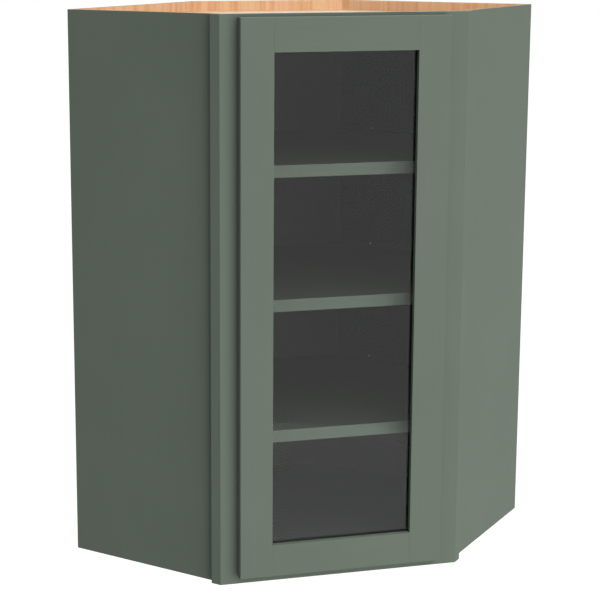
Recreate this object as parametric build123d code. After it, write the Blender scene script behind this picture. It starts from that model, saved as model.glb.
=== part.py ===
"""Diagonal corner wall cabinet with a glass door.

Millimetres, +Z up. X runs along the diagonal face and -Y is the front, where the door hangs.
The origin is under the middle of the cabinet's bounding box, level with its bottom edge.

Plan places are given from the corner of the room: `along` is the distance from that corner
along a wall, and `out` is the distance from that wall. `side` is -1 for the left wall and +1 for
the right one, so both halves are made by the same lines.
"""

import os
from math import sqrt

from build123d import *

# Case
CABINET_HEIGHT = 980.0
WALL_LEG = 609.6  # room corner to a side panel's outer face, along the wall
SIDE_TO_FRONT = 326.0  # wall to the face frame's front plane, along a side panel's outer face
CORNER_CLIP = 152.4  # room corner to the corner back panel, square to the face
SIDE_THICKNESS = 12.7
BACK_THICKNESS = 12.7
BACK_RABBET = 6.35  # how far a back panel runs into a side panel
DECK_THICKNESS = 18.0  # top and bottom panels
DECK_DADO = 6.0  # how far they run into the side panels
TOP_RECESS = 19.0
BOTTOM_RECESS = 12.7
HANG_RAIL_HEIGHT = 64.0
HANG_RAIL_THICKNESS = 19.0

# Face frame
FRAME_PROUD = 10.6  # how far its bevelled edges stand out from the side panels
FRAME_THICKNESS = 20.6
FRAME_STILE_WIDTH = 44.45
FRAME_RAIL_WIDTH = 44.45
FRAME_TENON_SHOULDER = 8.0

# Tenons on the rails of both the face frame and the door
TENON_LENGTH = 28.0
TENON_THICKNESS = 6.4
TENON_CLEARANCE = 0.1

# Shelves
SHELF_COUNT = 3
SHELF_THICKNESS = 21.5
ROOM_UNDER_SHELVES = 208.6  # bottom panel to the lowest shelf
ROOM_OVER_SHELVES = 218.2  # highest shelf to the top panel
SHELF_SETBACK = 32.0  # frame's front plane to the shelf's front edge
SHELF_CLEARANCE = 1.5
SHELF_EDGE_ROUND = 1.0
PIN_DIAMETER = 5.0
PIN_SIDES = 12  # there are many small pins and holes, so each is round to twelve flats
PIN_IN_WALL = 8.0
PIN_HOLE_DEPTH = 9.0
PIN_HOLE_CLEARANCE = 0.05
PIN_PITCH = 32.0
PIN_ROW = (-1, 0, 1)  # holes round each shelf, in pitches from the one in use
PIN_TAB_REACH = 10.0
PIN_TAB_WIDTH = 9.0
PIN_TAB_HEIGHT = 13.0
PIN_TAB_THICKNESS = 1.4
SIDE_PIN_FROM_FRONT = 45.0
SIDE_PIN_FROM_WALL = 60.0
BACK_PIN_FROM_CORNER = 70.0

# Door
DOOR_THICKNESS = 19.05
DOOR_LEFT_REVEAL = 29.8
DOOR_RIGHT_REVEAL = 37.8
DOOR_TOP_REVEAL = 5.0
DOOR_BOTTOM_REVEAL = 15.6
DOOR_GAP = 2.5  # between the door's back and the frame's front
DOOR_STILE_WIDTH = 57.0
DOOR_RAIL_WIDTH = 57.0
DOOR_FRONT_ROUND = 1.5
DOOR_HINGE_BACK_ROUND = 2.0
DOOR_TENON_SHOULDER = 12.0
GLASS_LEDGE = 9.5  # wood left in front of the glass
GLASS_RABBET = 9.5  # how far the rabbet reaches beyond the opening
GLASS_THICKNESS = 4.0
GLASS_EDGE_ROOM = 1.0
STOP_WIDTH = 7.0
STOP_EDGE_ROOM = 0.2
STOP_ROUND = 2.5
BUMPER_DIAMETER = 9.0
BUMPER_INSET = 12.0
BUMPER_GAP = 0.2

# Hinges
HINGE_COUNT = 3
HINGE_END_MARGIN = 92.0  # door end to the outer hinges' centres
PIVOT_FROM_EDGE = 7.5
PIVOT_BEHIND_FACE = 12.0  # frame's front plane forward to the pivot
CUP_DIAMETER = 35.0
CUP_DEPTH = 13.0
CUP_FROM_EDGE = 3.0
CUP_FLOOR = 0.7
CUP_BORE_CLEARANCE = 0.1
CUP_WALL = 3.0
CUP_WELL_SOLID = 9.0  # the well stops this far from the cup's edge, where the pin is held
FLANGE_THICKNESS = 1.2
FLANGE_OVERHANG = 1.5
FLANGE_RIM = 0.8  # flange left beyond the slot, on the side that swings past the frame
FLANGE_EAR_WIDTH = 12.0
CUP_SCREW_SPACING = 45.0
CUP_SCREW_OFFSET = 9.5
HINGE_PIN_DIAMETER = 2.5
HINGE_PIN_LENGTH = 20.0
HINGE_PIN_FIT = 0.02
KNUCKLE_CLEARANCE = 0.05
KNUCKLE_WALL = 1.25
ARM_THICKNESS = 2.0
ARM_WIDTH = 9.0
ARM_SIDE_ROOM = 0.5
ARM_END_ROOM = 0.7
ARM_INTO_CASE = 7.0  # frame's front plane back to the middle of the arm's last run
ARM_BEND = 2.5
PLATE_LENGTH = 46.0
PLATE_WIDTH = 15.0
PLATE_THICKNESS = 2.0
PLATE_ROUND = 3.0
PLATE_SCREW_SPACING = 30.0
SCREW_HOLE_DIAMETER = 3.6

# Worked out from the above
DIAGONAL = 1 / sqrt(2)
CORNER_TO_FRONT = (WALL_LEG + SIDE_TO_FRONT) * DIAGONAL
TOTAL_DEPTH = CORNER_TO_FRONT - CORNER_CLIP + DOOR_GAP + DOOR_THICKNESS
FRONT_Y = -TOTAL_DEPTH / 2 + DOOR_GAP + DOOR_THICKNESS
FRAME_BACK_Y = FRONT_Y + FRAME_THICKNESS
CORNER_Y = FRONT_Y + CORNER_TO_FRONT
SIDE_AT_FRONT = (WALL_LEG - SIDE_TO_FRONT) * DIAGONAL  # side panel's outer plane, at the front
FRAME_WIDTH = 2 * (SIDE_AT_FRONT + FRAME_PROUD / DIAGONAL)
FRAME_OPENING = FRAME_WIDTH / 2 - FRAME_STILE_WIDTH
FRAME_TOP_RAIL_LOW = CABINET_HEIGHT - FRAME_RAIL_WIDTH
SIDE_INNER = WALL_LEG - SIDE_THICKNESS
TOP_DECK_BOTTOM = CABINET_HEIGHT - TOP_RECESS - DECK_THICKNESS
BOTTOM_DECK_TOP = BOTTOM_RECESS + DECK_THICKNESS
FIRST_SHELF_TOP = BOTTOM_DECK_TOP + ROOM_UNDER_SHELVES + SHELF_THICKNESS
SHELF_SPACING = (TOP_DECK_BOTTOM - ROOM_OVER_SHELVES - FIRST_SHELF_TOP) / (SHELF_COUNT - 1)
SHELF_TOPS = [FIRST_SHELF_TOP + i * SHELF_SPACING for i in range(SHELF_COUNT)]
SHELF_NAMES = ["lower", "middle", "upper"]

DOOR_LEFT = -FRAME_WIDTH / 2 + DOOR_LEFT_REVEAL
DOOR_RIGHT = FRAME_WIDTH / 2 - DOOR_RIGHT_REVEAL
DOOR_BOTTOM = DOOR_BOTTOM_REVEAL
DOOR_TOP = CABINET_HEIGHT - DOOR_TOP_REVEAL
DOOR_BACK_Y = FRONT_Y - DOOR_GAP
DOOR_FRONT_Y = DOOR_BACK_Y - DOOR_THICKNESS
LIGHT_LEFT = DOOR_LEFT + DOOR_STILE_WIDTH
LIGHT_RIGHT = DOOR_RIGHT - DOOR_STILE_WIDTH
LIGHT_BOTTOM = DOOR_BOTTOM + DOOR_RAIL_WIDTH
LIGHT_TOP = DOOR_TOP - DOOR_RAIL_WIDTH
GLASS_FRONT_Y = DOOR_FRONT_Y + GLASS_LEDGE
GLASS_BACK_Y = GLASS_FRONT_Y + GLASS_THICKNESS

PIVOT_X = DOOR_RIGHT - PIVOT_FROM_EDGE
PIVOT_Y = FRONT_Y - PIVOT_BEHIND_FACE
CUP_X = DOOR_RIGHT - CUP_FROM_EDGE - CUP_DIAMETER / 2
HINGE_SPAN = DOOR_TOP - DOOR_BOTTOM - 2 * HINGE_END_MARGIN
HINGE_SPACING = HINGE_SPAN / (HINGE_COUNT - 1)
HINGE_HEIGHTS = [DOOR_BOTTOM + HINGE_END_MARGIN + i * HINGE_SPACING for i in range(HINGE_COUNT)]
HINGE_NAMES = ["lower", "middle", "upper"]
KNUCKLE_RADIUS = HINGE_PIN_DIAMETER / 2 + KNUCKLE_CLEARANCE + KNUCKLE_WALL
CUP_SLOT_END = PIVOT_X + KNUCKLE_RADIUS + ARM_END_ROOM


def block(x_low, x_high, y_low, y_high, z_low, z_high):
    size = Box(x_high - x_low, y_high - y_low, z_high - z_low)
    return Pos((x_low + x_high) / 2, (y_low + y_high) / 2, (z_low + z_high) / 2) * size


def prism(points, z_low, z_high):
    outline = make_face(Polyline(*points, close=True))
    return Pos(0, 0, z_low) * extrude(outline, amount=z_high - z_low, dir=(0, 0, 1))


def rod(start, direction, radius, length):
    from_start = (Align.CENTER, Align.CENTER, Align.MIN)
    return Plane(start, z_dir=direction) * Cylinder(radius, length, align=from_start)


def plan(side, along, out):
    return (side * (along - out) * DIAGONAL, CORNER_Y - (along + out) * DIAGONAL)


def along_wall(side):
    return Vector(side * DIAGONAL, -DIAGONAL, 0)


def out_of_wall(side):
    return Vector(-side * DIAGONAL, -DIAGONAL, 0)


def depth_line(y):
    """The sum of along and out on the line at this y, which is parallel to the face."""
    return (CORNER_Y - y) / DIAGONAL


def tenon(side, shoulder_x, middle_y, z_limits, growth):
    """Tongue on a rail's end, or the mortise for it where growth is the clearance."""
    x_low, x_high = sorted((shoulder_x, shoulder_x + side * (TENON_LENGTH + growth)))
    half_thickness = TENON_THICKNESS / 2 + growth
    z_low, z_high = z_limits
    y_low, y_high = middle_y - half_thickness, middle_y + half_thickness
    return block(x_low, x_high, y_low, y_high, z_low - growth, z_high + growth)


# ---------------------------------------------------------------- case

CORNER_INNER = depth_line(CORNER_Y - CORNER_CLIP - BACK_THICKNESS)
CORNER_OUTER = depth_line(CORNER_Y - CORNER_CLIP)
FRAME_BACK_LINE = depth_line(FRAME_BACK_Y)


def room_outline(side_room, back_room, front_y):
    """Right half of the space between the panels, from the face round to the corner panel."""
    side_line = SIDE_INNER - side_room
    back_line = BACK_THICKNESS + back_room
    corner_line = CORNER_INNER + back_room / DIAGONAL
    return [
        plan(1, side_line, depth_line(front_y) - side_line),
        plan(1, side_line, back_line),
        plan(1, corner_line - back_line, back_line),
    ]


def mirrored(half):
    return half + [(-x, y) for x, y in reversed(half)]


def deck(z_low):
    outline = mirrored(room_outline(-DECK_DADO, 0, FRAME_BACK_Y))
    return prism(outline, z_low, z_low + DECK_THICKNESS)


def peg(start, into_wall, radius, length):
    outline = Plane(start, x_dir=(0, 0, 1), z_dir=into_wall) * RegularPolygon(radius, PIN_SIDES)
    return extrude(outline, amount=length)


def pin_height(top):
    return top - SHELF_THICKNESS - PIN_TAB_THICKNESS - PIN_DIAMETER / 2


def pin_holes(side, along, out, into_wall):
    """One column of shelf-pin holes: a short row round each shelf, the middle one in use."""
    x, y = plan(side, along, out)
    bore = PIN_DIAMETER / 2 + PIN_HOLE_CLEARANCE
    heights = [pin_height(top) + step * PIN_PITCH for top in SHELF_TOPS for step in PIN_ROW]
    return [peg((x, y, z), into_wall, bore, PIN_HOLE_DEPTH) for z in heights]


def side_pin_places():
    front = FRAME_BACK_LINE - SIDE_INNER - SIDE_PIN_FROM_FRONT
    return [(SIDE_INNER, SIDE_PIN_FROM_WALL), (SIDE_INNER, front)]


def back_pin_place():
    return (CORNER_INNER - BACK_THICKNESS + BACK_PIN_FROM_CORNER, BACK_THICKNESS)


def side_panel(side):
    outline = [
        plan(side, WALL_LEG, 0),
        plan(side, WALL_LEG, FRAME_BACK_LINE - WALL_LEG),
        plan(side, SIDE_INNER, FRAME_BACK_LINE - SIDE_INNER),
        plan(side, SIDE_INNER, BACK_THICKNESS),
        plan(side, SIDE_INNER + BACK_RABBET, BACK_THICKNESS),
        plan(side, SIDE_INNER + BACK_RABBET, 0),
    ]
    panel = prism(outline, 0, CABINET_HEIGHT)
    panel -= [deck(BOTTOM_RECESS), deck(TOP_DECK_BOTTOM)]
    for along, out in side_pin_places():
        panel -= pin_holes(side, along, out, along_wall(side))
    return panel


def back_panel(side):
    outline = [
        plan(side, SIDE_INNER + BACK_RABBET, 0),
        plan(side, SIDE_INNER + BACK_RABBET, BACK_THICKNESS),
        plan(side, CORNER_INNER - BACK_THICKNESS, BACK_THICKNESS),
        plan(side, CORNER_OUTER, 0),
    ]
    panel = prism(outline, 0, CABINET_HEIGHT)
    return panel - pin_holes(side, *back_pin_place(), -out_of_wall(side))


def corner_back_panel():
    right = [plan(1, CORNER_OUTER, 0), plan(1, CORNER_INNER - BACK_THICKNESS, BACK_THICKNESS)]
    (x_outer, y_outer), (x_inner, y_inner) = right
    outline = [(x_outer, y_outer), (x_inner, y_inner), (-x_inner, y_inner), (-x_outer, y_outer)]
    return prism(outline, 0, CABINET_HEIGHT)


def hanging_rail(side, z_low):
    front = BACK_THICKNESS + HANG_RAIL_THICKNESS
    outline = [
        plan(side, SIDE_INNER, BACK_THICKNESS),
        plan(side, SIDE_INNER, front),
        plan(side, CORNER_INNER - front, front),
        plan(side, CORNER_INNER - BACK_THICKNESS, BACK_THICKNESS),
    ]
    return prism(outline, z_low, z_low + HANG_RAIL_HEIGHT)


# ---------------------------------------------------------------- face frame


def frame_tenon(side, rail_low, growth):
    middle_y = (FRONT_Y + FRAME_BACK_Y) / 2
    z_limits = (rail_low + FRAME_TENON_SHOULDER, rail_low + FRAME_RAIL_WIDTH - FRAME_TENON_SHOULDER)
    return tenon(side, side * FRAME_OPENING, middle_y, z_limits, growth)


def frame_stile(side):
    """The outer edge is bevelled parallel to the side panel and stands proud of it."""
    side_back_x = SIDE_AT_FRONT + FRAME_THICKNESS
    shoulder = FRAME_PROUD * DIAGONAL
    outline = [
        (side * FRAME_OPENING, FRONT_Y),
        (side * FRAME_WIDTH / 2, FRONT_Y),
        (side * (side_back_x + shoulder), FRAME_BACK_Y - shoulder),
        (side * side_back_x, FRAME_BACK_Y),
        (side * FRAME_OPENING, FRAME_BACK_Y),
    ]
    stile = prism(outline, 0, CABINET_HEIGHT)
    stile -= [frame_tenon(side, low, TENON_CLEARANCE) for low in (0, FRAME_TOP_RAIL_LOW)]
    return stile


def frame_rail(z_low):
    rail = block(-FRAME_OPENING, FRAME_OPENING, FRONT_Y, FRAME_BACK_Y, z_low, z_low + FRAME_RAIL_WIDTH)
    return rail + [frame_tenon(side, z_low, 0) for side in (-1, 1)]


# ---------------------------------------------------------------- shelves


def shelf(top):
    outline = mirrored(room_outline(SHELF_CLEARANCE, SHELF_CLEARANCE, FRONT_Y + SHELF_SETBACK))
    board = prism(outline, top - SHELF_THICKNESS, top)
    front_edges = board.edges().filter_by(Axis.X).group_by(Axis.Y)[0]
    return fillet(front_edges, SHELF_EDGE_ROUND)


def shelf_pin(side, along, out, into_wall, top):
    """A pin with an angled tab: the shelf lies on the tab's flat top."""
    x, y = plan(side, along, out)
    level = Plane((x, y, top - SHELF_THICKNESS), x_dir=-into_wall, z_dir=(0, 0, 1))
    low_left = (Align.MIN, Align.CENTER, Align.MAX)
    paddle = Box(PIN_TAB_REACH, PIN_TAB_WIDTH, PIN_TAB_THICKNESS, align=low_left)
    heel = Box(PIN_TAB_THICKNESS, PIN_TAB_WIDTH, PIN_TAB_HEIGHT, align=low_left)
    shank = peg((x, y, pin_height(top)), into_wall, PIN_DIAMETER / 2, PIN_IN_WALL)
    return level * (paddle + heel) + shank


def shelf_pins(top):
    pins = []
    for side in (-1, 1):
        for along, out in side_pin_places():
            pins.append(shelf_pin(side, along, out, along_wall(side), top))
        pins.append(shelf_pin(side, *back_pin_place(), -out_of_wall(side), top))
    return Compound(children=pins)


# ---------------------------------------------------------------- door


def glass_rabbet():
    """The rebate behind the opening, cut through the back of all four members."""
    return block(
        LIGHT_LEFT - GLASS_RABBET,
        LIGHT_RIGHT + GLASS_RABBET,
        GLASS_FRONT_Y,
        DOOR_BACK_Y,
        LIGHT_BOTTOM - GLASS_RABBET,
        LIGHT_TOP + GLASS_RABBET,
    )


def door_tenon(side, rail_low, growth):
    shoulder_x = LIGHT_LEFT if side < 0 else LIGHT_RIGHT
    z_limits = (rail_low + DOOR_TENON_SHOULDER, rail_low + DOOR_RAIL_WIDTH - DOOR_TENON_SHOULDER)
    return tenon(side, shoulder_x, (DOOR_FRONT_Y + DOOR_BACK_Y) / 2, z_limits, growth)


def door_stile(side):
    x_low = DOOR_LEFT if side < 0 else LIGHT_RIGHT
    stile = block(x_low, x_low + DOOR_STILE_WIDTH, DOOR_FRONT_Y, DOOR_BACK_Y, DOOR_BOTTOM, DOOR_TOP)
    if side > 0:
        hinge_side = stile.edges().filter_by(Axis.Z).group_by(Axis.X)[-1]
        stile = fillet(hinge_side.sort_by(Axis.Y)[-1], DOOR_HINGE_BACK_ROUND)
    front = stile.edges().group_by(Axis.Y)[0].sort_by(Axis.X)
    stile = fillet(front[:3] if side < 0 else front[1:], DOOR_FRONT_ROUND)
    stile -= glass_rabbet()
    stile -= [door_tenon(side, low, TENON_CLEARANCE) for low in (DOOR_BOTTOM, LIGHT_TOP)]
    if side > 0:
        stile -= [cup_bore(z) for z in HINGE_HEIGHTS]
    return stile


def door_rail(z_low):
    rail = block(LIGHT_LEFT, LIGHT_RIGHT, DOOR_FRONT_Y, DOOR_BACK_Y, z_low, z_low + DOOR_RAIL_WIDTH)
    front = rail.edges().group_by(Axis.Y)[0].sort_by(Axis.Z)
    rail = fillet(front[0 if z_low == DOOR_BOTTOM else -1], DOOR_FRONT_ROUND)
    return rail - glass_rabbet() + [door_tenon(side, z_low, 0) for side in (-1, 1)]


def glass_pane():
    room = GLASS_RABBET - GLASS_EDGE_ROOM
    return block(
        LIGHT_LEFT - room,
        LIGHT_RIGHT + room,
        GLASS_FRONT_Y,
        GLASS_BACK_Y,
        LIGHT_BOTTOM - room,
        LIGHT_TOP + room,
    )


def stop_frame():
    """Outer and inner limits of the ring of glass stops."""
    room = GLASS_RABBET - STOP_EDGE_ROOM
    outer = (LIGHT_LEFT - room, LIGHT_RIGHT + room, LIGHT_BOTTOM - room, LIGHT_TOP + room)
    inner = tuple(v + step * STOP_WIDTH for v, step in zip(outer, (1, -1, 1, -1)))
    return outer, inner


def glass_stop(edge):
    """One mitred strip of the ring, rounded along its inner back edge."""
    (left, right, bottom, top), (in_left, in_right, in_bottom, in_top) = stop_frame()
    corners = {
        "left": [(left, bottom), (in_left, in_bottom), (in_left, in_top), (left, top)],
        "right": [(right, bottom), (right, top), (in_right, in_top), (in_right, in_bottom)],
        "bottom": [(left, bottom), (right, bottom), (in_right, in_bottom), (in_left, in_bottom)],
        "top": [(left, top), (in_left, in_top), (in_right, in_top), (right, top)],
    }
    outline = make_face(Polyline(*[(x, GLASS_BACK_Y, z) for x, z in corners[edge]], close=True))
    strip = extrude(outline, amount=DOOR_BACK_Y - GLASS_BACK_Y, dir=(0, 1, 0))
    axis, sort_axis, pick = {
        "left": (Axis.Z, Axis.X, -1),
        "right": (Axis.Z, Axis.X, 0),
        "bottom": (Axis.X, Axis.Z, -1),
        "top": (Axis.X, Axis.Z, 0),
    }[edge]
    back_edges = strip.edges().filter_by(axis).group_by(Axis.Y)[-1]
    round_limit = (DOOR_BACK_Y - GLASS_BACK_Y) / 2
    return fillet(back_edges.sort_by(sort_axis)[pick], min(STOP_ROUND, round_limit))


def door_bumpers():
    thickness = DOOR_GAP - BUMPER_GAP
    x = (DOOR_LEFT - FRAME_OPENING) / 2
    heights = (DOOR_BOTTOM + BUMPER_INSET, DOOR_TOP - BUMPER_INSET)
    pads = [rod((x, DOOR_BACK_Y, z), (0, 1, 0), BUMPER_DIAMETER / 2, thickness) for z in heights]
    return Compound(children=[chamfer(pad.edges().group_by(Axis.Y)[-1], thickness / 3) for pad in pads])


# ---------------------------------------------------------------- hinges


def cup_bore(z):
    depth = CUP_DEPTH + CUP_BORE_CLEARANCE
    return rod((CUP_X, DOOR_BACK_Y, z), (0, -1, 0), CUP_DIAMETER / 2 + CUP_BORE_CLEARANCE, depth)


def cup_well(z):
    """Open inside of a cup: a round pan, and a slot for the knuckle between the pin's two ends."""
    top = DOOR_BACK_Y + FLANGE_THICKNESS
    floor_y = DOOR_BACK_Y - CUP_DEPTH + CUP_FLOOR
    pan = rod((CUP_X, top, z), (0, -1, 0), CUP_DIAMETER / 2 - CUP_WALL, top - floor_y)
    solid_from = CUP_X + CUP_DIAMETER / 2 - CUP_WELL_SOLID
    pan -= block(solid_from, DOOR_RIGHT, floor_y, top, z - CUP_DIAMETER, z + CUP_DIAMETER)
    half_slot = ARM_WIDTH / 2 + ARM_SIDE_ROOM
    return pan + block(CUP_X, CUP_SLOT_END, floor_y, top, z - half_slot, z + half_slot)


def hinge_cup(z):
    cup = rod((CUP_X, DOOR_BACK_Y, z), (0, -1, 0), CUP_DIAMETER / 2, CUP_DEPTH)
    reach = CUP_DIAMETER / 2 + FLANGE_OVERHANG
    flange = rod((CUP_X, DOOR_BACK_Y, z), (0, 1, 0), reach, FLANGE_THICKNESS)
    flange -= block(CUP_SLOT_END + FLANGE_RIM, CUP_X + reach, DOOR_BACK_Y, FRONT_Y, z - reach, z + reach)
    ears = extrude(
        Plane((CUP_X - CUP_SCREW_OFFSET, DOOR_BACK_Y, z), x_dir=(0, 0, 1), z_dir=(0, 1, 0))
        * SlotCenterToCenter(CUP_SCREW_SPACING, FLANGE_EAR_WIDTH),
        amount=FLANGE_THICKNESS,
    )
    body = cup + (flange + ears) - cup_well(z) - hinge_pin(z, HINGE_PIN_FIT)
    top = DOOR_BACK_Y + FLANGE_THICKNESS
    places = [(CUP_X - CUP_SCREW_OFFSET, top, z + step * CUP_SCREW_SPACING / 2) for step in (-1, 1)]
    return body - screw_holes(places, (0, -1, 0), FLANGE_THICKNESS)


def hinge_pin(z, growth=0.0):
    radius = HINGE_PIN_DIAMETER / 2 + growth
    return Pos(PIVOT_X, PIVOT_Y, z) * Cylinder(radius, HINGE_PIN_LENGTH + 2 * growth)


def hinge_pins():
    return Compound(children=[hinge_pin(z) for z in HINGE_HEIGHTS])


def hinge_arm(z):
    """Gooseneck strip from the knuckle round to the plate on the stile's inner edge."""
    run_y = FRONT_Y + ARM_INTO_CASE
    plate_x = FRAME_OPENING - PLATE_THICKNESS
    path = FilletPolyline(
        (PIVOT_X - HINGE_PIN_DIAMETER / 2 - KNUCKLE_CLEARANCE, PIVOT_Y, z),
        (CUP_X, PIVOT_Y, z),
        (CUP_X, run_y, z),
        (plate_x, run_y, z),
        radius=ARM_BEND,
    )
    section = Plane(path @ 0, x_dir=(0, 0, 1), z_dir=path % 0) * Rectangle(ARM_WIDTH, ARM_THICKNESS)
    strip = sweep(section, path)
    knuckle = Pos(PIVOT_X, PIVOT_Y, z) * Cylinder(KNUCKLE_RADIUS, ARM_WIDTH)
    plate_y = (FRONT_Y + FRAME_BACK_Y) / 2
    plate = extrude(
        Plane((plate_x, plate_y, z), x_dir=(0, 0, 1), z_dir=(1, 0, 0))
        * RectangleRounded(PLATE_LENGTH, PLATE_WIDTH, PLATE_ROUND),
        amount=PLATE_THICKNESS,
    )
    bore = Pos(PIVOT_X, PIVOT_Y, z) * Cylinder(HINGE_PIN_DIAMETER / 2 + KNUCKLE_CLEARANCE, ARM_WIDTH)
    places = [(plate_x, plate_y, z + step * PLATE_SCREW_SPACING / 2) for step in (-1, 1)]
    return strip + knuckle + plate - bore - screw_holes(places, (1, 0, 0), PLATE_THICKNESS)


def screw_holes(places, way, thickness):
    return [rod(place, way, SCREW_HOLE_DIAMETER / 2, thickness) for place in places]


# ---------------------------------------------------------------- nodes


def all_parts():
    parts = {
        "left_side_panel": side_panel(-1),
        "right_side_panel": side_panel(1),
        "left_back_panel": back_panel(-1),
        "right_back_panel": back_panel(1),
        "corner_back_panel": corner_back_panel(),
        "top_panel": deck(TOP_DECK_BOTTOM),
        "bottom_panel": deck(BOTTOM_RECESS),
        "left_upper_hanging_rail": hanging_rail(-1, TOP_DECK_BOTTOM - HANG_RAIL_HEIGHT),
        "right_upper_hanging_rail": hanging_rail(1, TOP_DECK_BOTTOM - HANG_RAIL_HEIGHT),
        "left_lower_hanging_rail": hanging_rail(-1, BOTTOM_DECK_TOP),
        "right_lower_hanging_rail": hanging_rail(1, BOTTOM_DECK_TOP),
        "frame_left_stile": frame_stile(-1),
        "frame_right_stile": frame_stile(1),
        "frame_top_rail": frame_rail(FRAME_TOP_RAIL_LOW),
        "frame_bottom_rail": frame_rail(0),
        "door_left_stile": door_stile(-1),
        "door_right_stile": door_stile(1),
        "door_top_rail": door_rail(LIGHT_TOP),
        "door_bottom_rail": door_rail(DOOR_BOTTOM),
        "glass_pane": glass_pane(),
        "door_bumpers": door_bumpers(),
        "hinge_pins": hinge_pins(),
    }
    for edge in ("left", "right", "bottom", "top"):
        parts[f"glass_{edge}_stop"] = glass_stop(edge)
    for name, top in zip(SHELF_NAMES, SHELF_TOPS):
        parts[f"{name}_shelf"] = shelf(top)
        parts[f"{name}_shelf_pins"] = shelf_pins(top)
    for name, z in zip(HINGE_NAMES, HINGE_HEIGHTS):
        parts[f"{name}_hinge_cup"] = hinge_cup(z)
        parts[f"{name}_hinge_arm"] = hinge_arm(z)
    return parts


os.makedirs("parts", exist_ok=True)
for node, shape in all_parts().items():
    export_step(shape, f"parts/{node}.step")
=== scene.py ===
import math

import bmesh
import bpy
from mathutils import Matrix, Vector


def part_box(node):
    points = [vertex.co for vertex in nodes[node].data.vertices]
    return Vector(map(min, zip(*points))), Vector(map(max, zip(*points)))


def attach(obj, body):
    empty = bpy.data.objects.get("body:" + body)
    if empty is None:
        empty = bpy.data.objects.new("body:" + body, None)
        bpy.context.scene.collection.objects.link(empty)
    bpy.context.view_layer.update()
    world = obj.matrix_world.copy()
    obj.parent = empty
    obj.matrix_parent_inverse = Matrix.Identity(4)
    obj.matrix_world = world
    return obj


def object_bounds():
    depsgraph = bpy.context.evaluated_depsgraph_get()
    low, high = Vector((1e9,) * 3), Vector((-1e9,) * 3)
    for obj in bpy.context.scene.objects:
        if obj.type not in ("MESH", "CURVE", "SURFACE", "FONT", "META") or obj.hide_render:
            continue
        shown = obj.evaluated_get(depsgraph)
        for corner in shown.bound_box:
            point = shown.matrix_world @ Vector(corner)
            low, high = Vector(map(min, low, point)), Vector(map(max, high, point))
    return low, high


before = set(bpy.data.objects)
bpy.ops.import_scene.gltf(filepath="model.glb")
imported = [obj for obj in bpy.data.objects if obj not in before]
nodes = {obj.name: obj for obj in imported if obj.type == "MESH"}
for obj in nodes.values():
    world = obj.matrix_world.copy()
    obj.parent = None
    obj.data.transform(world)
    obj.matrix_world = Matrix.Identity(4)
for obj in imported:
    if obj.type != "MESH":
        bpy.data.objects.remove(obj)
cad_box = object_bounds()


# ---------------------------------------------------------------- camera, room and lamps
# The cabinet hangs at its usual height above a pale floor, in a white studio. The camera stands to
# its left, a little above its top, and looks slightly down. A broad lamp stands in front and to the
# right, a weaker one shines from above, and one behind keeps the wall side readable.

LOOKS_DOWN, LOOKS_RIGHT = math.radians(10.451), math.radians(13.787)
camera = bpy.data.objects.new("camera", bpy.data.cameras.new("camera"))
bpy.context.scene.collection.objects.link(camera)
camera.data.sensor_width = 36.0
camera.data.lens = 95.4
camera.data.shift_x, camera.data.shift_y = 0.1, -0.12
camera.location = (-0.80073, -2.76908, 1.10635)
camera.rotation_euler = (math.tau / 4 - LOOKS_DOWN, 0, -LOOKS_RIGHT)
bpy.context.scene.camera = camera
bpy.context.scene.view_settings.view_transform = "Standard"


class Wire:
    """A socket in a finish. Arithmetic on it adds the Math nodes, and node() adds any other."""

    def __init__(self, tree, socket=None):
        self.tree, self.socket = tree, socket

    def node(self, kind, settings, sockets, out=0):
        made = self.tree.nodes.new(kind)
        for name, value in settings.items():
            setattr(made, name, value)
        for name, value in sockets.items():
            if isinstance(value, Wire):
                self.tree.links.new(value.socket, made.inputs[name])
            else:
                made.inputs[name].default_value = value
        return Wire(self.tree, made.outputs[out] if len(made.outputs) else None)

    def sum(self, operation, a, b):
        return self.node("ShaderNodeMath", {"operation": operation}, {0: a, 1: b})

    def __add__(self, other):
        return self.sum("ADD", self, other)

    def __radd__(self, other):
        return self.sum("ADD", other, self)

    def __sub__(self, other):
        return self.sum("SUBTRACT", self, other)

    def __rsub__(self, other):
        return self.sum("SUBTRACT", other, self)

    def __mul__(self, other):
        return self.sum("MULTIPLY", self, other)

    def __rmul__(self, other):
        return self.sum("MULTIPLY", other, self)

    def between(self, low, high):
        """0 at low, 1 at high and straight between, also where low is the larger."""
        sockets = {"Value": self, "From Min": low, "From Max": high}
        return self.node("ShaderNodeMapRange", {"clamp": True}, sockets)

    def colours(self, first, second):
        """The first colour where this is 0 and the second where it is 1."""
        return self.node("ShaderNodeMix", {"data_type": "RGBA"}, {0: self, 6: first, 7: second}, 2)


def white_where_seen(tree):
    """1 for what the camera, glass or gloss sees, 0 for the light that falls on the cabinet."""
    seen = Wire(tree).node("ShaderNodeLightPath", {}, {}, "Is Camera Ray")
    gloss = Wire(tree).node("ShaderNodeLightPath", {}, {}, "Is Glossy Ray")
    through = Wire(tree).node("ShaderNodeLightPath", {}, {}, "Is Transmission Ray")
    lighting = Wire(tree).node("ShaderNodeLightPath", {}, {}, "Diffuse Depth")
    return (seen + gloss + through - lighting * 3.0).between(0.0, 1.0)


studio = bpy.data.worlds.new("studio")
studio.use_nodes = True
studio.node_tree.nodes.clear()
bpy.context.scene.world = studio
room_light = white_where_seen(studio.node_tree).colours((0.16, 0.16, 0.16, 1), (1, 1, 1, 1))
background = room_light.node("ShaderNodeBackground", {}, {"Color": room_light})
room_light.node("ShaderNodeOutputWorld", {}, {"Surface": background})

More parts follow.
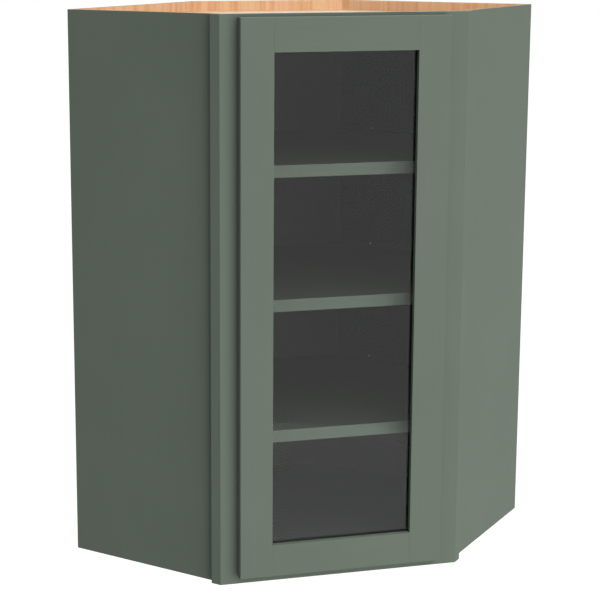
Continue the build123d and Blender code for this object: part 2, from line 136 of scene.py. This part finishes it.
HANGS_ABOVE_FLOOR = 1.372
floor_mesh = bmesh.new()
bmesh.ops.create_grid(floor_mesh, x_segments=4, y_segments=4, size=40)
floor = bpy.data.objects.new("floor", bpy.data.meshes.new("floor"))
floor_mesh.to_mesh(floor.data)
floor_mesh.free()
floor.location = (0, 0, -HANGS_ABOVE_FLOOR)
bpy.context.scene.collection.objects.link(floor)
pale = bpy.data.materials.new("pale_floor")
pale.use_nodes = True
pale.node_tree.nodes.clear()
floor_glow = white_where_seen(pale.node_tree).colours((0, 0, 0, 1), (0.85, 0.85, 0.85, 1))
floor_look = floor_glow.node(
    "ShaderNodeBsdfPrincipled",
    {},
    {
        "Base Color": (0.3, 0.3, 0.3, 1),
        "Roughness": 0.9,
        "Specular IOR Level": 0.0,
        "Emission Color": floor_glow,
        "Emission Strength": 1.0,
    },
)
floor_look.node("ShaderNodeOutputMaterial", {}, {"Surface": floor_look})
floor.data.materials.append(pale)

LAMP_ROUND = math.radians(22)
LAMP_AWAY, LAMP_HEIGHT = 5.2, 0.55
right_lamp = bpy.data.objects.new("right_lamp", bpy.data.lights.new("right_lamp", "AREA"))
right_lamp.data.shape, right_lamp.data.size = "DISK", 5.6
right_lamp.data.energy = 208
lamp_out = cad_box[0].y - LAMP_AWAY * math.cos(LAMP_ROUND)
right_lamp.location = (LAMP_AWAY * math.sin(LAMP_ROUND), lamp_out, LAMP_HEIGHT)
right_lamp.rotation_euler = (math.tau / 4, 0, LAMP_ROUND)
right_lamp.visible_glossy = right_lamp.visible_transmission = False
bpy.context.scene.collection.objects.link(right_lamp)
for name, way_round, height, strength, spread in (
    ("top_lamp", 10, 62, 1.5, 1.0),
    ("wall_side_lamp", 180, 20, 1.0, 0.9),
):
    lamp = bpy.data.objects.new(name, bpy.data.lights.new(name, "SUN"))
    lamp.data.energy = strength
    lamp.data.angle = spread
    lamp.rotation_euler = (math.radians(90 - height), 0, math.radians(way_round))
    bpy.context.scene.collection.objects.link(lamp)


# ---------------------------------------------------------------- face frame and door frame
# Two frames of solid hardwood stiles and rails, tenoned together and sprayed in one satin sage
# green. The arrises are eased before spraying, the spray leaves a faint orange peel, and the
# wood's grain shows through it as shallow streaks along each board.


def finish(name, **same_all_over):
    """A new material, its shader with the settings that don't vary, and the place on the piece."""
    material = bpy.data.materials.new(name)
    material.use_nodes = True
    tree = material.node_tree
    shader = tree.nodes["Principled BSDF"]
    for socket, value in same_all_over.items():
        shader.inputs[socket.replace("_", " ")].default_value = value
    return material, shader, Wire(tree).node("ShaderNodeTexCoord", {}, {}, "Object")


def lay(wire, shader, socket):
    wire.tree.links.new(wire.socket, shader.inputs[socket])


def noise(place, scale, detail=2.0, stretch=(1, 1, 1)):
    """Cloudy 0 to 1. A stretch below 1 draws it out along that axis."""
    drawn = place.node("ShaderNodeVectorMath", {"operation": "MULTIPLY"}, {0: place, 1: stretch})
    return drawn.node("ShaderNodeTexNoise", {}, {"Vector": drawn, "Scale": scale, "Detail": detail})


def relief(height, strength, depth):
    return height.node("ShaderNodeBump", {}, {"Height": height, "Strength": strength, "Distance": depth})


def sage(name, along_board):
    """Satin paint on wood whose grain is drawn out along the board."""
    paint, shader, place = finish(name, IOR=1.45, Specular_IOR_Level=0.09)
    peel = noise(place, 620, 1)
    cloud = noise(place, 5, 2)
    grain = noise(place, 260, 3, along_board)
    tone = (cloud * 0.6 + grain * 0.4).between(0.3, 0.7)
    lay(tone.colours((0.154, 0.189, 0.152, 1), (0.168, 0.204, 0.166, 1)), shader, "Base Color")
    lay(peel * 0.10 + 0.49, shader, "Roughness")
    lay(relief(peel * 0.7 + grain * 0.5, 0.12, 0.0004), shader, "Normal")
    return paint


def paint_over(node, *coats):
    """Gives a CAD piece its coats. A face takes the first whose direction is its own, or is None."""
    piece = nodes[node].data
    piece.materials.clear()
    for coat, _ in coats:
        piece.materials.append(coat)
    for polygon in piece.polygons:
        facing = [way is None or polygon.normal.dot(way) > 0.9 for _, way in coats]
        polygon.material_index = facing.index(True)


def ease(node):
    """Joins the flat faces of a board and takes its arrises off."""
    board = nodes[node]
    for polygon in board.data.polygons:
        polygon.use_smooth = True
    board.modifiers.new("weld", "WELD").merge_threshold = 1e-5
    flat = board.modifiers.new("flat", "DECIMATE")
    flat.decimate_type, flat.angle_limit, flat.delimit = "DISSOLVE", math.radians(0.3), {"MATERIAL"}
    arris = board.modifiers.new("arris", "BEVEL")
    arris.width, arris.segments, arris.limit_method = 0.00025, 2, "ANGLE"
    arris.angle_limit, arris.use_clamp_overlap = math.radians(30), False
    board.modifiers.new("shading", "WEIGHTED_NORMAL").keep_sharp = False


sage_upright = sage("sage_paint_upright", (1, 1, 0.03))
sage_level = sage("sage_paint_level", (0.03, 1, 1))
for board in ("frame_left_stile", "frame_right_stile", "door_left_stile", "door_right_stile"):
    paint_over(board, (sage_upright, None))
    ease(board)
for board in ("frame_top_rail", "frame_bottom_rail", "door_top_rail", "door_bottom_rail"):
    paint_over(board, (sage_level, None))
    ease(board)


# ---------------------------------------------------------------- plywood case
# Sides, backs, top and bottom are birch plywood. The room side of the two side panels is sprayed
# sage, and the inside has a dark grey matt foil, its darkness painted shade for the dim inside of
# the case. The wall side, the outer faces of top and bottom, the strips beyond them and every cut
# edge, where the plies show, stay clear-coated wood.


def sine(angle):
    return angle.node("ShaderNodeMath", {"operation": "SINE"}, {0: angle})


RINGS = 30


def birch(name, pale_wood, dark_wood, along_board):
    """Peeled veneer: long nested rings, thin streaks and short pores drawn out along the board."""
    wood, shader, place = finish(name, Roughness=0.45, Specular_IOR_Level=0.3)
    less_drawn = tuple(max(way, 0.14) for way in along_board)
    growth = noise(place, 5, 2, less_drawn) + noise(place, 60, 3, along_board) * 0.03
    rings = sine(growth * (RINGS * math.tau)) * 0.5 + 0.5
    streaks = noise(place, 120, 4, along_board).between(0.3, 0.7)
    pores = noise(place, 900, 2, along_board).between(0.5, 0.72)
    figure = rings * 0.34 + streaks * 0.46 + pores * 0.2
    lay(figure.colours(pale_wood, dark_wood), shader, "Base Color")
    lay(relief(pores, 0.15, 0.0004), shader, "Normal")
    return wood


def painted_shade_foil_on_birch(name, painted_shade_from, painted_shade_to):
    """Dark foil, painted shade for the dim inside, between two heights on an upright panel, and streaky
    bare wood beyond them.
    """
    face, shader, place = finish(name, Roughness=0.6, Specular_IOR_Level=0.05)
    height = place.node("ShaderNodeSeparateXYZ", {}, {0: place}, "Z")
    cut = 0.0005
    above = height.between(painted_shade_to - cut, painted_shade_to + cut)
    below = height.between(painted_shade_from + cut, painted_shade_from - cut)
    bare = above + below
    rings = noise(place, 75, 4, (1, 1, 0.05))
    pores = noise(place, 420, 3, (1, 1, 0.03))
    streaks = (rings.between(0.44, 0.72) * 0.8 + pores.between(0.45, 0.8) * 0.35).between(0.0, 1.0)
    wood = streaks.colours((1.0, 0.68, 0.42, 1), (0.84, 0.39, 0.18, 1))
    printed = noise(place, 130, 2, (1, 1, 0.1))
    # The foil's near-black grey is painted shade for the dim inside of the case; its faint print is the
    # foil's own.
    painted_shade_foil = printed.colours((0.062, 0.062, 0.062, 1), (0.074, 0.074, 0.074, 1))
    lay(bare.colours(painted_shade_foil, wood), shader, "Base Color")
    lay(relief(pores * bare + printed * 0.2, 0.08, 0.0004), shader, "Normal")
    return face


def cut_edge(name, across):
    """Plies seen on a board's edge. Across is the direction of the board's thickness."""
    PLY_PAIR = 0.00363
    edge, shader, place = finish(name, Roughness=0.7, Specular_IOR_Level=0.2)
    depth = place.node("ShaderNodeVectorMath", {"operation": "DOT_PRODUCT"}, {0: place, 1: across}, "Value")
    turns = (depth + noise(place, 60, 2) * 0.0008) * (math.tau / PLY_PAIR)
    fibres = noise(place, 700, 2)
    layer = (sine(turns) * 3.0 + 0.5 + fibres * 0.8 - 0.4).between(0.0, 1.0)
    lay(layer.colours((0.62, 0.42, 0.24, 1), (0.36, 0.21, 0.11, 1)), shader, "Base Color")
    lay(relief(layer * 0.6 + fibres * 0.4, 0.25, 0.0004), shader, "Normal")
    return edge


SLANT = math.sqrt(0.5)
UP = Vector((0, 0, 1))
case_from, case_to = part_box("bottom_panel")[0].z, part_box("top_panel")[1].z
# The dark foil on the inside faces, the hanging rails and the inner faces of the decks is painted shade for
# the dim inside of the case.
inside = painted_shade_foil_on_birch("case_inside_painted_shade", case_from, case_to)
all_over = (case_from - 1, case_to + 1)
painted_shade_foil = painted_shade_foil_on_birch("case_painted_shade_foil", *all_over)
wall_side = birch("clear_coated_birch", (0.74, 0.50, 0.29, 1), (0.60, 0.36, 0.18, 1), (1, 1, 0.04))
deck = birch("pale_birch", (0.92, 0.69, 0.48, 1), (0.87, 0.58, 0.36, 1), (0.04, 1, 1))
for side, x in (("left", -1), ("right", 1)):
    outward, wallward = Vector((x * SLANT, -SLANT, 0)), Vector((x * SLANT, SLANT, 0))
    side_edge = cut_edge(f"{side}_side_edge", outward)
    back_edge = cut_edge(f"{side}_back_edge", wallward)
    paint_over(f"{side}_side_panel", (sage_upright, outward), (inside, -outward), (side_edge, None))
    paint_over(f"{side}_back_panel", (wall_side, wallward), (inside, -wallward), (back_edge, None))
    for rail in ("upper", "lower"):
        paint_over(f"{side}_{rail}_hanging_rail", (painted_shade_foil, None))
wallward = Vector((0, 1, 0))
corner_edge = cut_edge("corner_back_edge", wallward)
paint_over("corner_back_panel", (wall_side, wallward), (inside, -wallward), (corner_edge, None))
deck_edge = cut_edge("deck_edge", UP)
paint_over("top_panel", (deck, UP), (painted_shade_foil, -UP), (deck_edge, None))
paint_over("bottom_panel", (painted_shade_foil, UP), (deck, -UP), (deck_edge, None))
for board in ("left_side", "right_side", "left_back", "right_back", "corner_back"):
    ease(f"{board}_panel")


# ---------------------------------------------------------------- shelves
# Three loose boards with sage edges, and a dark olive above and below that is a shaded copy of the
# sage, painted shade for the dim inside of the case. Each lies on six zinc-plated pins, whose flat
# tabs carry it.

shelf_painted_shade, shader, place = finish("shelf_painted_shade", Roughness=0.6, Specular_IOR_Level=0.05)
grain = noise(place, 260, 3, (0.03, 1, 1))
# Dark olive painted shade over the shelf's faces, with the board's own grain in it.
lay(grain.colours((0.042, 0.046, 0.037, 1), (0.052, 0.056, 0.046, 1)), shader, "Base Color")
lay(relief(grain, 0.08, 0.0003), shader, "Normal")


def metal(name, bright, dull, roughness, wear):
    """Pressed and plated steel with dull patches and fine scuffs."""
    plate, shader, place = finish(name, Metallic=1.0)
    scuffs = noise(place, 900, 3, (1, 1, 0.2))
    patches = noise(place, 70, 3).between(0.35, 0.7)
    lay(patches.colours(bright, dull), shader, "Base Color")
    lay(scuffs * wear + roughness, shader, "Roughness")
    lay(relief(scuffs, 0.06, 0.0002), shader, "Normal")
    return plate


zinc = metal("zinc_plating", (0.62, 0.63, 0.64, 1), (0.50, 0.51, 0.52, 1), 0.24, 0.16)
for level in ("lower", "middle", "upper"):
    paint_over(f"{level}_shelf", (shelf_painted_shade, UP), (shelf_painted_shade, -UP), (sage_level, None))
    paint_over(f"{level}_shelf_pins", (zinc, None))


# ---------------------------------------------------------------- glass and its stops
# One clear float-glass pane lies in the rebate behind the door's opening. Four mitred wood strips
# hold it there, painted with the door and pinned with brads whose heads lie flush.

glass, shader, place = finish(
    "clear_float_glass",
    Roughness=0.0,
    IOR=1.45,
    Specular_Tint=(0.58, 0.59, 0.58, 1),
    Transmission_Weight=1.0,
)
tint = noise(place, 3, 1).colours((0.93, 0.95, 0.94, 1), (0.95, 0.965, 0.955, 1))
lay(tint, shader, "Base Color")
lit_through = place.node("ShaderNodeBsdfTransparent", {}, {"Color": (0.9, 0.91, 0.9, 1)})
shadow_ray = place.node("ShaderNodeLightPath", {}, {}, "Is Shadow Ray")
pane = Wire(place.tree, shader.outputs[0])
pane_look = place.node("ShaderNodeMixShader", {}, {0: shadow_ray, 1: pane, 2: lit_through})
lay(pane_look, place.tree.nodes["Material Output"], "Surface")
paint_over("glass_pane", (glass, None))
for edge in ("left", "right"):
    paint_over(f"glass_{edge}_stop", (sage_upright, None))
for edge in ("top", "bottom"):
    paint_over(f"glass_{edge}_stop", (sage_level, None))


def turned(shape, profile, steps):
    """Lathes (radius, height) points about Z into shape, and returns the last ring."""
    rings = []
    for radius, height in profile:
        if radius == 0:
            rings.append([shape.verts.new((0, 0, height))])
            continue
        turns = [math.tau * step / steps for step in range(steps)]
        rings.append([shape.verts.new((radius * math.cos(t), radius * math.sin(t), height)) for t in turns])
    for near, far in zip(rings, rings[1:]):
        for step in range(steps):
            pair = (step, (step + 1) % steps)
            corners = [near[i % len(near)] for i in pair] + [far[i % len(far)] for i in reversed(pair)]
            shape.faces.new(list(dict.fromkeys(corners)))
    return rings[-1]


def placed(name, make_one, places, coat, body):
    """One piece made of a small shape at each (spot, way), its Z turned to look that way."""
    whole = bmesh.new()
    for spot, way in places:
        turn = Vector(way).to_track_quat("Z", "Y").to_matrix().to_4x4()
        one = make_one()
        one.transform(Matrix.Translation(spot) @ turn)
        copy = bpy.data.meshes.new("one")
        one.to_mesh(copy)
        whole.from_mesh(copy)
        bpy.data.meshes.remove(copy)
        one.free()
    bmesh.ops.recalc_face_normals(whole, faces=whole.faces)
    piece = bpy.data.objects.new(name, bpy.data.meshes.new(name))
    whole.to_mesh(piece.data)
    whole.free()
    for polygon in piece.data.polygons:
        polygon.use_smooth = True
    piece.data.set_sharp_from_angle(angle=math.radians(35))
    piece.data.materials.append(coat)
    bpy.context.scene.collection.objects.link(piece)
    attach(piece, body)


def brad():
    """Pin 1.2 mm thick, its slightly wider head dished and flush at height 0."""
    shape = bmesh.new()
    shank = ((0, -0.006), (0.0006, -0.0045), (0.0006, -0.0006))
    top = ((0.0010, -0.0003), (0.0010, 0.00005), (0.0005, -0.00005), (0, -0.00005))
    turned(shape, shank + top, 12)
    return shape


brad_places = []
for edge, count, along in (("left", 6, 2), ("right", 6, 2), ("top", 3, 0), ("bottom", 3, 0)):
    low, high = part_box(f"glass_{edge}_stop")
    for step in range(count):
        spot = (low + high) / 2
        spot[along] = low[along] + (high[along] - low[along]) * (step + 0.5) / count
        spot.y = high.y
        brad_places.append((spot, (0, 1, 0)))
placed("stop_brads", brad, brad_places, zinc, "door")


# ---------------------------------------------------------------- hinges
# Three concealed hinges: a pressed cup let into the door, a gooseneck arm, and a plate screwed to
# the frame's inner edge, all nickel plated. The cross-recessed screws are zinc plated: two hold the
# cup, two the plate, and one in the arm sets the door sideways.

nickel = metal("nickel_plating", (0.72, 0.69, 0.64, 1), (0.58, 0.55, 0.51, 1), 0.18, 0.14)
for level in ("lower", "middle", "upper"):
    paint_over(f"{level}_hinge_cup", (nickel, None))
    paint_over(f"{level}_hinge_arm", (nickel, None))
paint_over("hinge_pins", (zinc, None))


def cross_screw():
    """Pan head on a short shank, its underside at height 0, with a cross-shaped recess."""
    TOP, FLOOR = 0.0014, 0.0004
    shape = bmesh.new()
    shank = ((0, -0.004), (0.0015, -0.0025), (0.0016, 0))
    head = ((0.0032, 0), (0.0033, 0.0005), (0.0029, 0.0011), (0.0021, TOP))
    rim = turned(shape, shank + head, 24)
    reach, half = 0.0015, 0.0004
    cross = []
    for quarter in range(4):
        turn = Matrix.Rotation(quarter * math.tau / 4, 3, "Z")
        for x, y in ((reach, half), (half, half), (half, reach)):
            cross.append(shape.verts.new(turn @ Vector((x, y, TOP))))
    outline = [shape.edges.new((vert, after)) for vert, after in zip(cross, cross[1:] + cross[:1])]
    outline += [shape.edges.get((vert, after)) for vert, after in zip(rim, rim[1:] + rim[:1])]
    bmesh.ops.triangle_fill(shape, use_beauty=True, edges=outline)
    sunk = [shape.verts.new((vert.co.x * 0.7, vert.co.y * 0.7, FLOOR)) for vert in cross]
    for step in range(len(cross)):
        shape.faces.new((cross[step - 1], cross[step], sunk[step], sunk[step - 1]))
    shape.faces.new(sunk)
    return shape


CUP_SCREWS_APART, PLATE_SCREWS_APART = 0.045, 0.030
CUP_SCREW_INTO_FLANGE = 0.0095
PLATE_THICKNESS = 0.002
ARM_BEHIND_FRAME = 0.006
ADJUSTER_FROM_STILE = 0.0049
stile_low, stile_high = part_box("frame_right_stile")
cup_places, plate_places, adjuster_places = [], [], []
for level in ("lower", "middle", "upper"):
    low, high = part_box(f"{level}_hinge_cup")
    middle = (low.z + high.z) / 2
    for step in (-0.5, 0.5):
        cup_spot = (low.x + CUP_SCREW_INTO_FLANGE, high.y, middle + step * CUP_SCREWS_APART)
        cup_places.append((cup_spot, (0, 1, 0)))
        plate_y = (stile_low.y + stile_high.y) / 2
        plate_spot = (stile_low.x - PLATE_THICKNESS, plate_y, middle + step * PLATE_SCREWS_APART)
        plate_places.append((plate_spot, (-1, 0, 0)))
    arm_spot = (stile_low.x - ADJUSTER_FROM_STILE, stile_low.y + ARM_BEHIND_FRAME, middle)
    adjuster_places.append((arm_spot, (0, -1, 0)))
placed("cup_screws", cross_screw, cup_places, zinc, "door")
placed("plate_screws", cross_screw, plate_places, zinc, "cabinet")
placed("adjusting_screws", cross_screw, adjuster_places, zinc, "cabinet")


# ---------------------------------------------------------------- bumpers
# Two soft clear pads are stuck to the back of the door's free edge. They meet the frame as the
# door closes.

pad, shader, place = finish("clear_soft_pad", IOR=1.45, Roughness=0.2, Transmission_Weight=0.7)
haze = noise(place, 300, 2)
lay(haze.colours((0.86, 0.88, 0.87, 1), (0.78, 0.80, 0.79, 1)), shader, "Base Color")
lay(relief(haze, 0.1, 0.0003), shader, "Normal")
paint_over("door_bumpers", (pad, None))


# ---------------------------------------------------------------- staples in the backs
# The two wide back panels are glued into their rebates and stapled to the side panels, the top,
# the bottom and the hanging rails. The wire crowns lie flush in the wall side.

WIRE_RADIUS = 0.00045
CROWN_HALF, LEG_DEPTH, BEND = 0.005, 0.004, 0.0006
SUNK = 0.0003
UP_THE_SIDE, LOWEST, APART_UP = 7, 0.05, 0.1467
ALONG_A_BOARD, NEAREST_CORNER, APART_ALONG = 4, 0.26, 0.1
staples = bpy.data.curves.new("back_staples", "CURVE")
staples.dimensions = "3D"
staples.bevel_depth, staples.bevel_resolution = WIRE_RADIUS, 1


def staple(spot, along, outward):
    """A wire crown along its direction, with its two legs driven in."""
    crown = staples.splines.new("POLY")
    half = ((CROWN_HALF, -LEG_DEPTH), (CROWN_HALF, -SUNK - BEND), (CROWN_HALF - BEND, -SUNK))
    bends = [(-across, depth) for across, depth in half] + list(reversed(half))
    crown.points.add(len(bends) - 1)
    for point, (across, depth) in zip(crown.points, bends):
        point.co = (*(spot + along * across + outward * depth), 1)


REBATE_LEDGE = 0.00635
corner_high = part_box("corner_back_panel")[1]
room_corner = Vector((0, corner_high.y + corner_high.x, 0))
side_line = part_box("right_back_panel")[1].x / SLANT - REBATE_LEDGE / 2
backed = ("bottom_panel", "left_lower_hanging_rail", "left_upper_hanging_rail", "top_panel")
board_heights = [(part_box(board)[0].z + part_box(board)[1].z) / 2 for board in backed]
for x in (-1, 1):
    outward, along = Vector((x * SLANT, SLANT, 0)), Vector((x * SLANT, -SLANT, 0))
    for step in range(UP_THE_SIDE):
        height = LOWEST + step * APART_UP
        staple(room_corner + along * side_line + UP * height, UP, outward)
    for height in board_heights:
        for step in range(ALONG_A_BOARD):
            from_corner = NEAREST_CORNER + step * APART_ALONG
            staple(room_corner + along * from_corner + UP * height, along, outward)
staple_wire = bpy.data.objects.new("back_staples", staples)
staples.materials.append(zinc)
bpy.context.scene.collection.objects.link(staple_wire)
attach(staple_wire, "cabinet")

bpy.context.view_layer.update()
